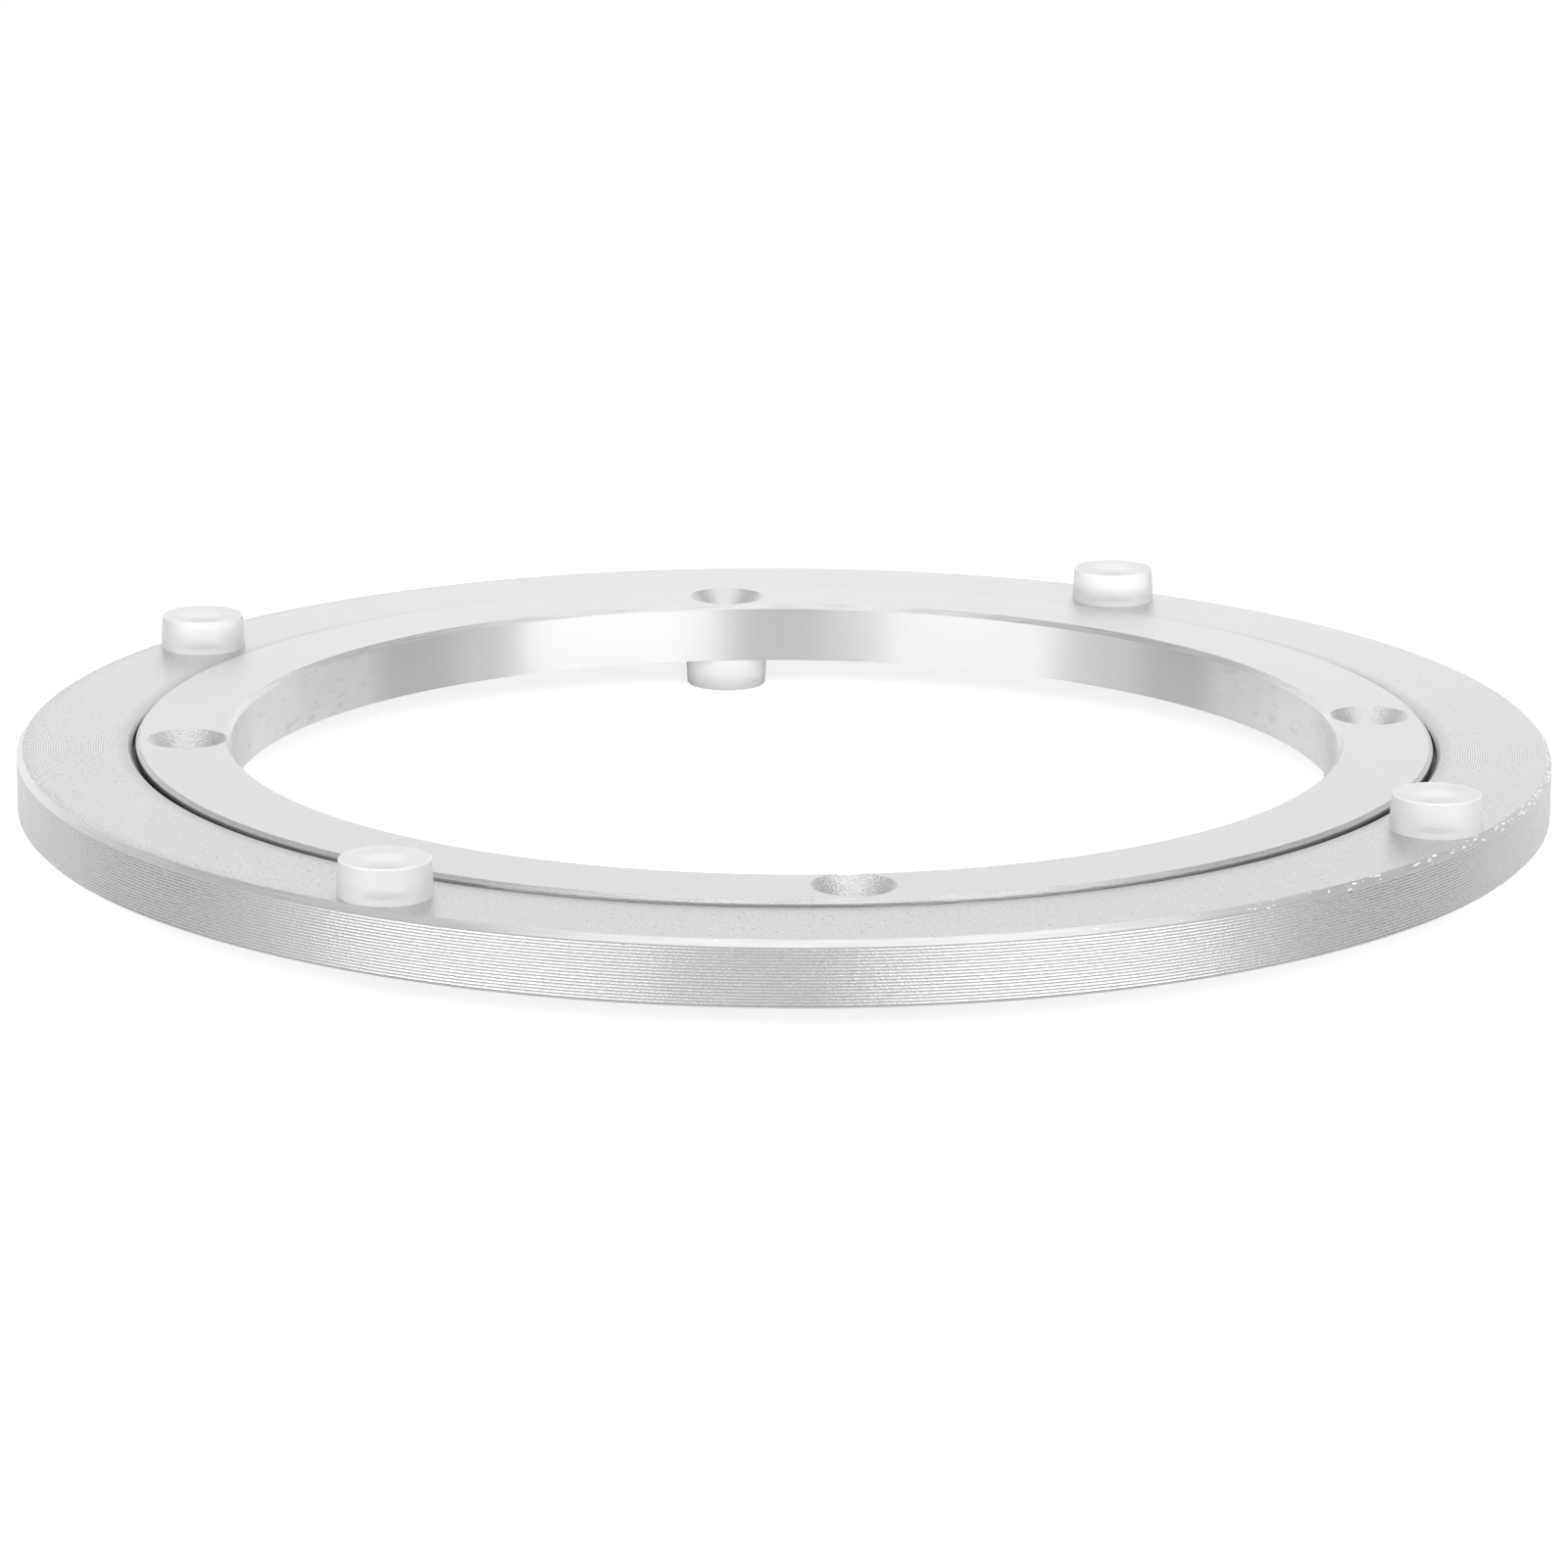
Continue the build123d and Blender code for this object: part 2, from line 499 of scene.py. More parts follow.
def aluminium(name, tone, roughness, marks, drawn_out=0.0):
    """Metal of one tone, with its marks drawn in turn, each with its strength."""
    material = bpy.data.materials.new(name)
    wire = start_nodes(material)
    metal = TurnedMetal(wire)
    for draw, *strength in marks:
        draw(metal, *strength)
    bump = wire.node("ShaderNodeBump", inputs={"Strength": 1.0, "Distance": 1.0, "Height": metal.height})
    shader = wire.node("ShaderNodeBsdfPrincipled", inputs={
        "Base Color": mixed(wire, 1.0, tone, metal.light, "MULTIPLY"),
        "Metallic": metal.metallic,
        "Roughness": roughness + (metal.patch - 0.5) * ROUGHNESS_SPREAD,
        "Anisotropic": drawn_out, "Anisotropic Rotation": ROUND_THE_AXIS, "Normal": bump})
    wire.node("ShaderNodeOutputMaterial", inputs={"Surface": shader})
    print(name, "marks:", ", ".join(draw.__name__ for draw, *strength in marks))
    return material


outer_face = aluminium("faced_outer", FACED, 0.42, [
    (sanding, 0.5), (specks, 0.5), (scuffs, 0.25), (shade_beside_gap, 0.16), (feed_rings_and_sheen, 0.2)])
inner_face = aluminium("faced_inner", FACED, 0.42, [
    (sanding, 0.2), (specks, 0.15), (feed_rings_and_sheen, 0.13, BORE_EDGE)])
turned = aluminium("turned_rim", TURNED_AND_SHADED, 0.26, [(painted_rim_lines, 0.2), (short_streaks, 0.05 * MM)])
rim_edge = aluminium("rim_bevel", LIT_BEVEL, 0.32, [(rubbing, 0.5), (nicks, 0.9)])
cut_edge = aluminium("cut_bevel", FACED, 0.32, [(sanding, 0.5), (rubbing, 0.6)])
mouth = aluminium("mouth_bevel", TURNED_AND_SHADED, 0.4, [(rubbing, 0.4)])
bored = aluminium("bored_wall", BORED, 0.4, [(long_streaks, 0.002 * MM), (sheen_and_smudges, 0.22)], drawn_out=1.0)
sunk = aluminium("countersink", FACED, 0.4, [(chatter, 0.16 * MM)])
land = aluminium("gap_wall", TURNED_AND_SHADED, 0.35, [(long_streaks, 0.04 * MM), (gap_shade, 0.38)])
race = aluminium("race_painted_shade", RACE_SHADE, 0.4, [(long_streaks, 0.02 * MM)])

# %% [markdown]
# ## A ring from its section
# A turned ring is one outline swept round an axis. It could be cut from cylinders with booleans,
# but the lathe's own way is plainer: a flat plate stands where the ring's section is, its corners
# are bevelled, the ball groove is pulled into its wall, and the outline is spun a full turn.

# %% Section helpers
STEPS_ROUND = 384


def section_plate(name, inner, outer, low, high):
    """An upright plate with the ring's section, its place in its mesh, open for editing."""
    bpy.ops.object.select_all(action="DESELECT")
    centre = ((inner + outer) / 2, 0, (low + high) / 2)
    bpy.ops.mesh.primitive_plane_add(size=1, location=centre, rotation=(math.pi / 2, 0, 0))
    plate = bpy.context.active_object
    plate.name = name
    plate.scale = (outer - inner, high - low, 1)
    bpy.ops.object.transform_apply(location=True, rotation=True, scale=True)
    open_piece(plate)
    return plate


def cut_corner(plate, x, z, size):
    """Bevels one corner of the section."""
    pick(plate, at(x, z))
    bpy.ops.mesh.bevel(offset=size, affect="VERTICES", segments=1)


def keep_outline():
    """Deletes the plate's face and leaves its edges."""
    bpy.ops.mesh.select_all(action="SELECT")
    bpy.ops.mesh.delete(type="ONLY_FACE")


def split_side(plate, x, low, high, cuts):
    """Adds points along an upright side and returns their heights."""
    pick(plate, at(x, low, high))
    bpy.ops.mesh.subdivide(number_cuts=cuts)
    return [low + (high - low) * (i + 1) / (cuts + 1) for i in range(cuts)]


def shift(plate, test, x, z=0.0):
    """Moves the points that pass a test."""
    pick(plate, test)
    bpy.ops.transform.translate(value=(x, 0, z))


def pull_groove(plate, wall, low, high, root):
    """Pulls a V groove for the balls into an upright side."""
    goals = [race_height - groove_half_mouth, race_height, race_height + groove_half_mouth]
    heights = split_side(plate, wall, low, high, len(goals))
    for height, goal, x in zip(heights, goals, (0, root - wall, 0)):
        shift(plate, at(wall, height), x, goal - height)


def spin_section():
    """Turns the open section's outline into a closed ring, and leaves edit mode."""
    bpy.ops.mesh.select_all(action="SELECT")
    bpy.ops.mesh.spin(steps=STEPS_ROUND, angle=2 * math.pi, center=(0, 0, 0), axis=(0, 0, 1))
    bpy.ops.mesh.select_all(action="SELECT")
    bpy.ops.mesh.remove_doubles(threshold=SAME_PLACE)
    bpy.ops.mesh.normals_make_consistent(inside=False)
    close_piece()


print(f"one step round the rim: {2 * math.pi * rim_radius / STEPS_ROUND / MM:.2f} mm")

# %% [markdown]
# ## Outer ring
# This is the ring that turns. Its rim shows the lathe's feed as a stack of shallow scallops, and
# its top edge has a bright bevel. The scallops could be a bump, but they catch light one by one in
# the photograph, so they are cut into the section: the rim's side is divided four times for each
# scallop and the points between the crests are pushed in.

# %% Outer ring's section
MOUTH_BEVEL = 0.5 * MM
SCALLOP_DEPTH = 0.04 * MM
SCALLOP_SHARES = (0.75, 1.0, 0.75)
scallop_parts = len(SCALLOP_SHARES) + 1

outer_ring = section_plate("outer_ring_turned", outer_wall, rim_radius, outer_bottom, outer_top)
cut_corner(outer_ring, rim_radius, outer_top, RIM_BEVEL)
cut_corner(outer_ring, rim_radius, outer_bottom, RIM_FOOT_BEVEL)
cut_corner(outer_ring, outer_wall, outer_top, MOUTH_BEVEL)
keep_outline()
pull_groove(outer_ring, outer_wall, outer_bottom, outer_top - MOUTH_BEVEL, race_radius + groove_reach)

rim_points = split_side(outer_ring, rim_radius, rim_foot, rim_head, scallop_parts * scallops - 1)
for first, share in enumerate(SCALLOP_SHARES):
    heights = rim_points[first::scallop_parts]
    shift(outer_ring, at(rim_radius, *heights), -share * SCALLOP_DEPTH)
spin_section()
print("outer ring:", scallops, "scallops,", len(outer_ring.data.polygons), "faces")

# %% [markdown]
# ## Inner ring
# The fixed ring is made the same way. Its section has a bevel on the bore's top edge and on its
# shoulder, where it stands a little above the outer ring.

# %% Inner ring's section
SHOULDER_BEVEL = 0.5 * MM
BORE_BEVEL = 0.68 * MM

inner_ring = section_plate("inner_ring_turned", bore_radius, inner_wall, inner_bottom, inner_top)
cut_corner(inner_ring, inner_wall, inner_top, SHOULDER_BEVEL)
cut_corner(inner_ring, bore_radius, inner_top, BORE_BEVEL)
keep_outline()
pull_groove(inner_ring, inner_wall, inner_bottom, inner_top - SHOULDER_BEVEL, race_radius - groove_reach)
spin_section()
print("inner ring:", len(inner_ring.data.polygons), "faces")

# %% [markdown]
# ## Sorting the faces
# One ring carries several finishes: faced tops, a scalloped rim, bright bevels, a smooth wall, a groove
# darkened with painted shade. Clicking on thousands of faces would take hours, so they are sorted by how
# they lean and where they lie: level ones are tops, upright ones are rim or wall, and those between are
# bevels.

# %% Tests for faces
LEVEL = 0.95
UPRIGHT = 0.5
race_top = race_height + groove_half_mouth


def lean(face):
    """How level a face lies: 0 upright, 1 level."""
    return abs(face.normal.z)


def level(face):
    """True for a top or an underside."""
    return lean(face) >= LEVEL


def upright(face):
    """True for a rim or a wall."""
    return lean(face) < UPRIGHT


def bevelled(face):
    """True for a face that is neither level nor upright."""
    return UPRIGHT <= lean(face) < LEVEL


def rim_side(face):
    """True for the rim and the bevel at its foot, which takes the rim's darker tone as painted shade."""
    return upright(face) or bevelled(face) and face.calc_center_median().z < rim_foot


def near_gap(face):
    """True for a face beside the gap between the rings, from one groove's root to the other's."""
    centre = face.calc_center_median()
    return inner_wall - groove_reach < math.hypot(centre.x, centre.y) < outer_wall + groove_reach


def gap_bevel(face):
    """True for a bevel at the gap."""
    return bevelled(face) and near_gap(face)


def gap_land(face):
    """True for the upright wall over a groove."""
    return upright(face) and near_gap(face) and face.calc_center_median().z > race_top


def groove(face):
    """True for a groove's flanks and the wall below it."""
    return not level(face) and near_gap(face) and face.calc_center_median().z < race_top


print(f"bevels lean from {UPRIGHT} to {LEVEL}, grooves end at {race_top / MM:.2f} mm")

# %% [markdown]
# ## A finish for each surface
# A piece has one slot for each of its materials, and every face names a slot. The finishes are
# given out in turn, and a later one takes over faces from an earlier one, so the list goes from the
# broad surfaces to the small ones in the gap.

# %% Give the rings their finishes


def give_finishes(piece, finishes):
    """Gives each finish to the faces that pass its test, and returns how many there were."""
    counts = []
    open_piece(piece)
    for place, (material, test) in enumerate(finishes):
        piece.data.materials.append(material)
        counts.append(pick(piece, test, faces=True))
        piece.active_material_index = place
        bpy.ops.object.material_slot_assign()
    close_piece()
    return counts


print("outer ring:", give_finishes(outer_ring, [
    (outer_face, level), (rim_edge, bevelled), (turned, rim_side), (mouth, gap_bevel),
    (land, gap_land), (race, groove)]))
print("inner ring:", give_finishes(inner_ring, [
    (inner_face, level), (bored, upright), (cut_edge, bevelled), (land, gap_land), (race, groove)]))

# %% [markdown]
# ## Countersunk screw holes
# Each ring has four. A cutter is a cylinder whose end is extruded and widened to the cone of a
# screw head. One stands wherever a pad is, since a pad covers the plain end of each hole. The faces
# could be inset and pushed in instead, but that would break up the tops. A boolean cuts cleanly,
# and the cutter's finish comes with it.

# %% Cut the screw holes
SINK_RADIUS = 5.2 * MM
OVERCUT = 0.5 * MM
HOLE_SIDES = 96


def cylinder(sides, radius, depth, centre, turned_to=(0, 0, 0)):
    """A new cylinder, its place in its mesh."""
    bpy.ops.object.select_all(action="DESELECT")
    bpy.ops.mesh.primitive_cylinder_add(
        vertices=sides, radius=radius, depth=depth, location=centre, rotation=turned_to)
    bpy.ops.object.transform_apply(location=True, rotation=True, scale=True)
    return bpy.context.active_object


def hole_cutter(centre, plain_end, sink_end):
    """A cutter for one hole that runs from its plain end to its countersunk end."""
    up = 1 if sink_end > plain_end else -1
    start = plain_end - up * OVERCUT
    neck = sink_end - up * (SINK_RADIUS - hole_radius)
    end = sink_end + up * OVERCUT
    wider = (SINK_RADIUS + OVERCUT) / hole_radius
    shank_middle = (centre.x, centre.y, (start + neck) / 2)
    cutter = cylinder(HOLE_SIDES, hole_radius, abs(neck - start), shank_middle)
    open_piece(cutter)
    pick(cutter, lambda face: face.normal.z * up > LEVEL, faces=True)
    bpy.ops.mesh.extrude_region_move(TRANSFORM_OT_translate={"value": (0, 0, end - neck)})
    bpy.ops.transform.resize(value=(wider, wider, 1), center_override=(centre.x, centre.y, end))
    bpy.ops.mesh.select_all(action="SELECT")
    bpy.ops.mesh.normals_make_consistent(inside=False)
    close_piece()
    cutter.data.materials.append(sunk)
    return cutter


def cut_away(ring, cutters):
    """Subtracts the cutters from a ring and removes them."""
    for cutter in cutters:
        hole = ring.modifiers.new("hole", "BOOLEAN")
        hole.operation = "DIFFERENCE"
        hole.solver = "EXACT"
        hole.material_mode = "TRANSFER"
        hole.object = cutter
        choose(ring)
        bpy.ops.object.modifier_apply(modifier=hole.name)
        bpy.data.objects.remove(cutter)


base_pads = sorted(name for name in frame["nodes"] if name.startswith("base_pad"))
top_pads = sorted(name for name in frame["nodes"] if name.startswith("top_pad"))
cut_away(inner_ring, [hole_cutter(middle(name), inner_bottom, inner_top) for name in base_pads])
cut_away(outer_ring, [hole_cutter(middle(name), outer_top, outer_bottom) for name in top_pads])
print("holes cut:", len(base_pads), "and", len(top_pads))

# %% [markdown]
# ## Filler hole
# The balls go in through a hole in the rim, which a plug then closes. The plug is right as it
# stands in the solid model, so only the ring needs its hole: a cylinder lying along the plug.

# %% Cut the filler hole
PLUG_PLAY = 0.03 * MM

plug_low, plug_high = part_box("filler_plug")
plug_radius = (plug_high[2] - plug_low[2]) / 2
plug_middle = middle("filler_plug")
plug_turn = math.atan2(plug_middle.y, plug_middle.x)
bar_length = rim_radius - race_radius + OVERCUT
bar_reach = race_radius + bar_length / 2
bar_middle = (bar_reach * math.cos(plug_turn), bar_reach * math.sin(plug_turn), race_height)
bar = cylinder(HOLE_SIDES, plug_radius + PLUG_PLAY, bar_length, bar_middle, (0, math.pi / 2, plug_turn))
bar.data.materials.append(bored)
cut_away(outer_ring, [bar])
print(f"filler hole at {math.degrees(plug_turn):.1f} degrees")

# %% [markdown]
# ## Smooth rings on their bodies
# A spun ring is made of flat strips and would look faceted. A subdivision surface would round it,
# but would also soften its bevels and add many faces. Smooth shading up to an angle hides the
# strips and keeps the sharper edges crisp. Each ring then stands for its solid and rides on the
# same body.

# %% Smooth the rings, and seat them on their bodies
SHARP = math.radians(32)

for ring, node, body in ((outer_ring, "outer_ring", "turntable"), (inner_ring, "inner_ring", "base")):
    choose(ring)
    bpy.ops.object.shade_smooth_by_angle(angle=SHARP)
    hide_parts(node)
    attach(ring, body)
    print(ring.name, len(ring.data.polygons), "faces")

# %% [markdown]
# ## Silicone
# The pads are milky: light goes in, is scattered, and some of it comes through. Subsurface scattering
# could do that, but it hides what lies behind, and here some of it shows. So part of the light passes
# through a frosted surface and the rest is thrown back white. The dish and the thin rounded edge let
# less light through, and the edge is a little paler, so that both read whiter as a painted highlight;
# they get finishes of their own.

# %% Silicone finish
SILICONE_IOR = 1.41
CLOUD = 3 * MM
CLOUD_TONE = 0.04
FROST = 0.3
SHINE_SPREAD = 0.1


def silicone(name, pale, clear):
    """Milky silicone with a fine moulded skin, from its paleness and how much light passes."""
    material = bpy.data.materials.new(name)
    wire = start_nodes(material)
    cloud = speckle(wire, object_place(wire), CLOUD)
    body = wire.node("ShaderNodeBsdfPrincipled", inputs={
        "Base Color": mixed(wire, cloud, grey(pale), grey(pale + CLOUD_TONE)),
        "Roughness": FROST + cloud * SHINE_SPREAD, "IOR": SILICONE_IOR, "Transmission Weight": clear})
    wire.node("ShaderNodeOutputMaterial", inputs={"Surface": body})
    return material


milky = silicone("milky_silicone", pale=0.9, clear=0.5)
# the dish and the edge: less clear, the edge paler, as a painted highlight
milky_dish_highlight = silicone("milky_dish_highlight", pale=0.9, clear=0.39)
milky_edge_highlight = silicone("milky_edge_highlight", pale=0.92, clear=0.28)
print("silicone:", milky.name, milky_dish_highlight.name, milky_edge_highlight.name)

# %% [markdown]
# ## Under a pad
# Through each upper pad the screw hole beneath it shows as a small dark patch of shade. The pad is too
# cloudy for a sharp view, so that shade is painted on the pad's foot: dark in the middle with a ragged
# edge, pale where it lies on the metal. Every pad stands elsewhere, so the patch is placed by the UV map
# that a cylinder comes with, where each end is a circle in its own square.

# %% Pad's foot
HOLE_SHADE = grey(0.05)
FOOT_PALE = grey(0.84)
FOOT_PATCH = (0.12, 0.22)
FOOT_FLECK = 0.6 * MM
FOOT_RAGGED = 0.08
FOOT_ROUGHNESS = 0.6
ENDS_ACROSS_MAP = 2.0


def pad_foot(name):
    """What shows through a pad's foot: pale where it lies on the metal, painted shade over the screw
    hole.
    """
    material = bpy.data.materials.new(name)
    wire = start_nodes(material)
    u, v = split(wire, wire.node("ShaderNodeUVMap", {"uv_map": "UVMap"}))[:2]
    across = wire.maths("FRACT", u * ENDS_ACROSS_MAP) - 0.5
    along = v * ENDS_ACROSS_MAP - 0.5
    fleck = speckle(wire, object_place(wire), FOOT_FLECK)
    away = length(across, along) + (fleck - 0.5) * FOOT_RAGGED
    body = wire.node("ShaderNodeBsdfPrincipled", inputs={
        "Base Color": mixed(wire, away.clamp(*FOOT_PATCH), HOLE_SHADE, FOOT_PALE),
        "Roughness": FOOT_ROUGHNESS + fleck * SHINE_SPREAD})
    wire.node("ShaderNodeOutputMaterial", inputs={"Surface": body})
    return material


foot = pad_foot("pad_foot")
print("under a pad:", foot.name)

# %% [markdown]
# ## Pads
# A pad is moulded, so it tapers a little to come out of its mould, its free edge is rounded, and its
# free face has a shallow dish. A section could be spun, as for the rings, but a cylinder needs fewer
# steps and brings the UV map: its free face is drawn in, the edge round it is bevelled, and two
# insets make the dish.

# %% Model the pads
PAD_TAPER = 11.15 / 11.6
PAD_EDGE = 0.3 * MM
PAD_EDGE_STEPS = 5
PAD_SHARP = math.radians(40)
EDGE_LEAN = 0.6
PAD_SIDES = 128
PAD_BED = 0.02 * MM
DISH_RADIUS = 3.0 * MM
DISH_EDGE = 0.5 * MM
DISH_DEPTH = 0.15 * MM


def moulded(node, up):
    """One pad's shape in the place of its solid, its free end up or down."""
    low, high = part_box(node)
    centre = middle(node)
    radius = (high[0] - low[0]) / 2
    seat = (low[2] if up > 0 else high[2]) - up * PAD_BED
    tip = high[2] if up > 0 else low[2]
    piece = cylinder(PAD_SIDES, radius, abs(tip - seat), (centre.x, centre.y, (seat + tip) / 2))
    piece.name = node + "_moulded"
    open_piece(piece)
    pick(piece, lambda face: face.normal.z * up > LEVEL, faces=True)
    bpy.ops.transform.resize(value=(PAD_TAPER, PAD_TAPER, 1), center_override=(centre.x, centre.y, tip))
    bpy.ops.mesh.bevel(offset=PAD_EDGE, segments=PAD_EDGE_STEPS, affect="EDGES")
    pick(piece, lambda face: face.normal.z * up > LEVEL and len(face.verts) == PAD_SIDES, faces=True)
    bpy.ops.mesh.inset(thickness=radius * PAD_TAPER - PAD_EDGE - DISH_RADIUS)
    bpy.ops.mesh.inset(thickness=DISH_EDGE, depth=-DISH_DEPTH)
    close_piece()
    bpy.ops.object.shade_smooth_by_angle(angle=PAD_SHARP)
    return piece


def pad(node, up):
    """One pad with its finishes. A lower one keeps a pale foot, which shows down its screw hole."""
    piece = moulded(node, up)
    finishes = [
        (milky, lambda face: True),
        (milky_dish_highlight, lambda face: face.normal.z * up > LEVEL and len(face.verts) == PAD_SIDES),
        (milky_edge_highlight, lambda face: EDGE_LEAN < face.normal.z * up < LEVEL)]
    if up > 0:
        finishes.append((foot, lambda face: face.normal.z < -LEVEL))
    print(piece.name, give_finishes(piece, finishes))
    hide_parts(node)
    return piece


for name in base_pads:
    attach(pad(name, -1), "base")
for name in top_pads:
    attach(pad(name, 1), "turntable")

# %% [markdown]
# ## Inside the race
# Balls, spacers and plug keep their solids, because their shapes are right as they are. They get
# finishes of their own: polished steel, nylon that grease has darkened, and the bore's aluminium
# for the plug.

# %% Finish the inner pieces
MOTTLE_DARK = 0.85
STEEL = (0.72, 0.73, 0.75, 1)
NYLON = (0.5, 0.48, 0.43, 1)


def mottled(name, tone, roughness, metallic, grain_size):
    """A finish with a slight mottle in its tone and shine."""
    material = bpy.data.materials.new(name)
    wire = start_nodes(material)
    mottle = speckle(wire, object_place(wire), grain_size)
    dark = tuple(MOTTLE_DARK * part for part in tone[:3]) + (1,)
    body = wire.node("ShaderNodeBsdfPrincipled", inputs={
        "Base Color": mixed(wire, mottle, dark, tone),
        "Roughness": roughness + mottle * SHINE_SPREAD, "Metallic": metallic})
    wire.node("ShaderNodeOutputMaterial", inputs={"Surface": body})
    return material


inner_finishes = {
    "steel_balls": mottled("ball_steel", STEEL, roughness=0.08, metallic=1.0, grain_size=1 * MM),
    "ball_spacers": mottled("nylon", NYLON, roughness=0.45, metallic=0.0, grain_size=2 * MM),
    "filler_plug": bored,
}
for node, material in inner_finishes.items():
    solid = frame["nodes"][node]
    solid.data.materials.clear()
    solid.data.materials.append(material)
print("inner finishes:", ", ".join(inner_finishes))

# %% [markdown]
# ## White floor
# The photograph is a catalogue picture on pure white. More lamps would burn out the metal, so the
# floor is a wide pale disc that adds light of its own, only for what the camera sees or what the
# metal and the silicone show of it. Near the object it is painted, and keeps the shadow. Further out
# it is plain light.

# %% Floor
FLOOR_RADIUS = 6.0
FLOOR_SIDES = 96
FLOOR_DROP = 0.02 * MM
FLOOR_TONE = grey(0.72)
WHITE = grey(1)
SEEN_GLOW = 0.68
MIRRORED_GLOW = 0.25
FAR_GLOW = 0.5
FAR_MIRRORED = 0.72
SHADOW_REACH = 0.15
SHADOW_END = 1.4 * SHADOW_REACH

bpy.ops.object.select_all(action="DESELECT")
bpy.ops.mesh.primitive_circle_add(
    vertices=FLOOR_SIDES, radius=FLOOR_RADIUS, fill_type="NGON", location=(0, 0, -FLOOR_DROP))
floor = bpy.context.active_object
floor.name = "floor"

white = bpy.data.materials.new("white_floor")
wire = start_nodes(white)
camera_ray = wire.node("ShaderNodeLightPath", output="Is Camera Ray")
seen = wire.maths("MAXIMUM", camera_ray, camera_ray.other("Is Transmission Ray"))
mirrored = camera_ray.other("Is Glossy Ray")
x, y = split(wire, object_place(wire))[:2]
paint = wire.node("ShaderNodeBsdfDiffuse", inputs={"Color": FLOOR_TONE})
glow = seen * SEEN_GLOW + mirrored * MIRRORED_GLOW
painted = wire.node("ShaderNodeAddShader", inputs={
    0: paint, 1: wire.node("ShaderNodeEmission", inputs={"Color": WHITE, "Strength": glow})})
far_glow = FAR_GLOW + wire.maths("MAXIMUM", seen, mirrored * FAR_MIRRORED) * (1 - FAR_GLOW)
far = wire.node("ShaderNodeEmission", inputs={"Color": WHITE, "Strength": far_glow})
share = length(x, y).clamp(SHADOW_REACH, SHADOW_END)
lit = wire.node("ShaderNodeMixShader", inputs={0: share, 1: painted, 2: far})
wire.node("ShaderNodeOutputMaterial", inputs={"Surface": lit})
floor.data.materials.append(white)
print("floor radius", FLOOR_RADIUS)

# %% [markdown]
# ## Sky
# In a studio the wall behind the object is white, the ceiling is half as bright, and the room in
# front and at the sides is darker. Metal shows all of that, so an even sky would leave it flat. A
# picture of a studio could light it, but the sky's strength is simple enough to be worked out from
# the direction.

# %% World
FRONT = 0.33
DOME = 0.68
SIDE_SHADE = 0.7

world = bpy.data.worlds.new("studio")
bpy.context.scene.world = world
wire = start_nodes(world)
x, y, z = split(wire, wire.node("ShaderNodeTexCoord", output="Generated"))
overhead = z.clamp(0.2, 0.6)
behind = y.clamp(0.35, 0.8)
low_sides = (x * x).clamp(0.6, 0.85) * z.clamp(0.6, 0.2)
room = FRONT + overhead * (DOME - FRONT)
strength = (room + behind * (1.0 - room)) * (1.0 - low_sides * SIDE_SHADE)
sky = wire.node("ShaderNodeBackground", inputs={"Color": WHITE, "Strength": strength})
wire.node("ShaderNodeOutputWorld", inputs={"Surface": sky})
print("sky from", FRONT, "in front to", DOME, "above and 1 behind")

# %% [markdown]
# ## Soft boxes
# The bright bands on the rim and the bore are reflections of soft boxes, and their places say where
# the boxes stood: a large one on each side in front, with dimmer ones beside them that soften the
# ends of the bands. A box overhead lights the tops, and a low card behind is mirrored in them. Sun
# or point lamps would give hard spots, so all are area lamps.

# %% Soft boxes
WATTS_FOR_BRIGHTNESS = 4


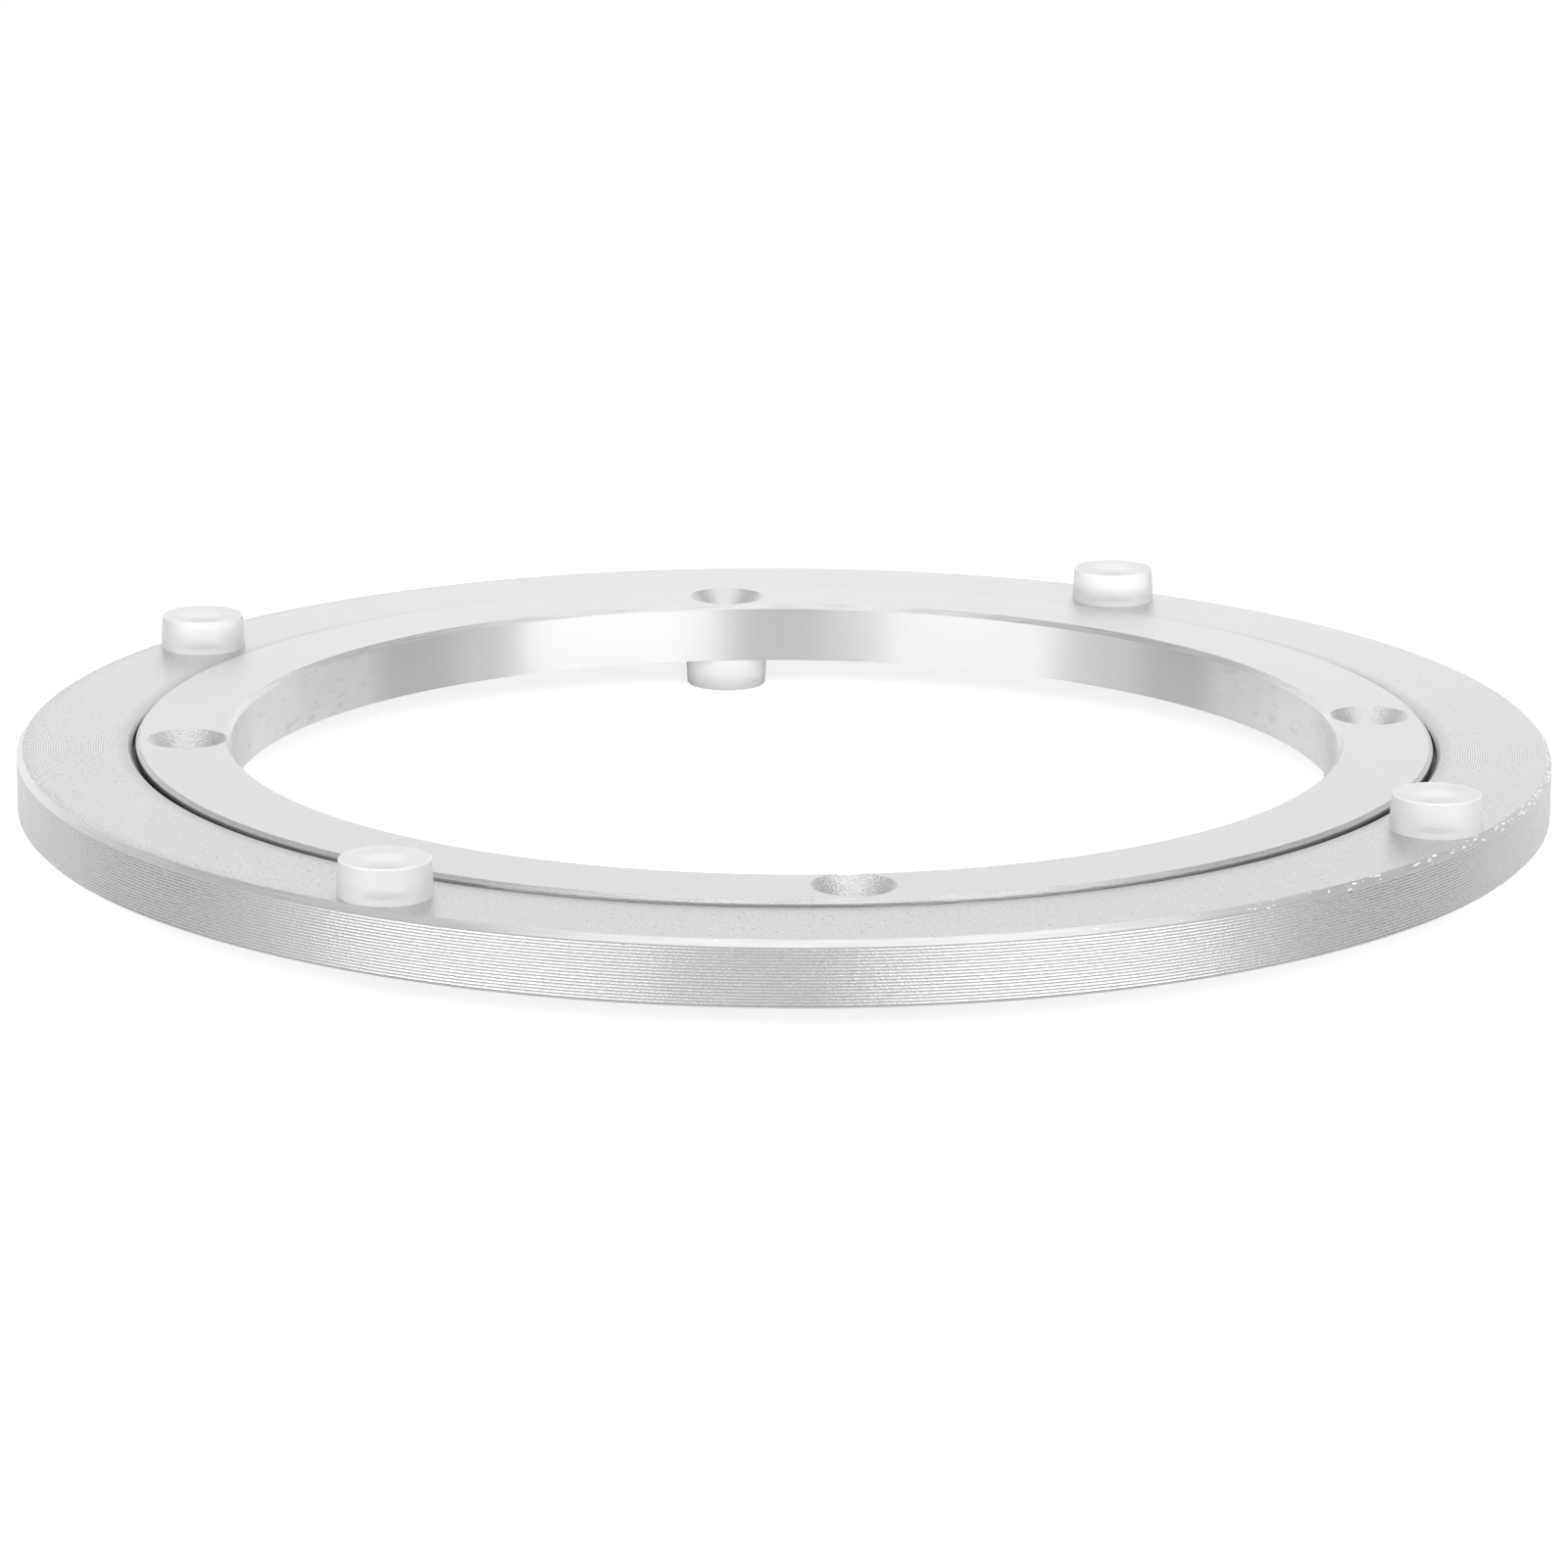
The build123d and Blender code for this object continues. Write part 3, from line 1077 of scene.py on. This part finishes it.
def soft_box(name, turn, width, brightness, lift=20, away=1.2, height=0.8, aside=0.0):
    """A lamp at a turn from the front and a lift from the floor, in degrees, facing the middle."""
    turn, lift = math.radians(turn), math.radians(lift)
    way = Vector((math.sin(turn) * math.cos(lift), -math.cos(turn) * math.cos(lift), math.sin(lift)))
    data = bpy.data.lights.new(name, "AREA")
    data.shape = "RECTANGLE"
    data.size = width
    data.size_y = height
    data.energy = WATTS_FOR_BRIGHTNESS * width * height * brightness
    lamp = bpy.data.objects.new(name, data)
    lamp.location = way * away + Vector((aside, 0, 0))
    lamp.rotation_euler = way.to_track_quat("Z", "Y").to_euler()
    bpy.context.scene.collection.objects.link(lamp)
    return lamp


lamps = [
    soft_box("left_wing", -74, 0.45, 0.58),
    soft_box("left_box", -43, 0.88, 2.1),
    soft_box("left_edge", -15.5, 0.29, 0.75),
    soft_box("right_box", 38, 1.02, 2.3),
    soft_box("right_wing", 71, 0.35, 0.44),
    soft_box("top_box", 0, 1.4, 0.58, lift=80, height=1.1, aside=0.17),
    soft_box("back_card", 180, 0.5, 0.32, lift=18, away=0.4, height=0.24),
]
print("lamps:", ", ".join(lamp.name for lamp in lamps))

# %% [markdown]
# ## Camera
# The view is a long lens from a low angle. It could be set by eye, but its place, its angle of view
# and a slight tilt to one side were worked out from the rings' outlines in the photograph, which
# puts every edge where it belongs.

# %% Camera
VIEW_DISTANCE = 0.8
VIEW_LIFT = math.radians(14.01)
VIEW_DROP = math.radians(0.493)
VIEW_ROLL = math.radians(0.37)
HALF_FRAME = 800
FOCAL_LENGTH = 6224
NEAREST = 0.01

aim = Vector((0, 0, outer_top))
ahead = Vector((0, math.cos(VIEW_LIFT), -math.sin(VIEW_LIFT)))
tilt = Matrix.Rotation(math.pi / 2 - VIEW_LIFT - VIEW_DROP, 4, "X")
roll = Matrix.Rotation(VIEW_ROLL, 4, "Z")
lens = bpy.data.cameras.new("camera")
lens.angle = 2 * math.atan(HALF_FRAME / FOCAL_LENGTH)
lens.clip_start = NEAREST
camera = bpy.data.objects.new("camera", lens)
camera.matrix_world = Matrix.Translation(aim - ahead * VIEW_DISTANCE) @ tilt @ roll
bpy.context.scene.collection.objects.link(camera)
bpy.context.scene.camera = camera
bpy.context.scene.view_settings.view_transform = "Standard"
print("camera at", tuple(round(part, 3) for part in camera.location))
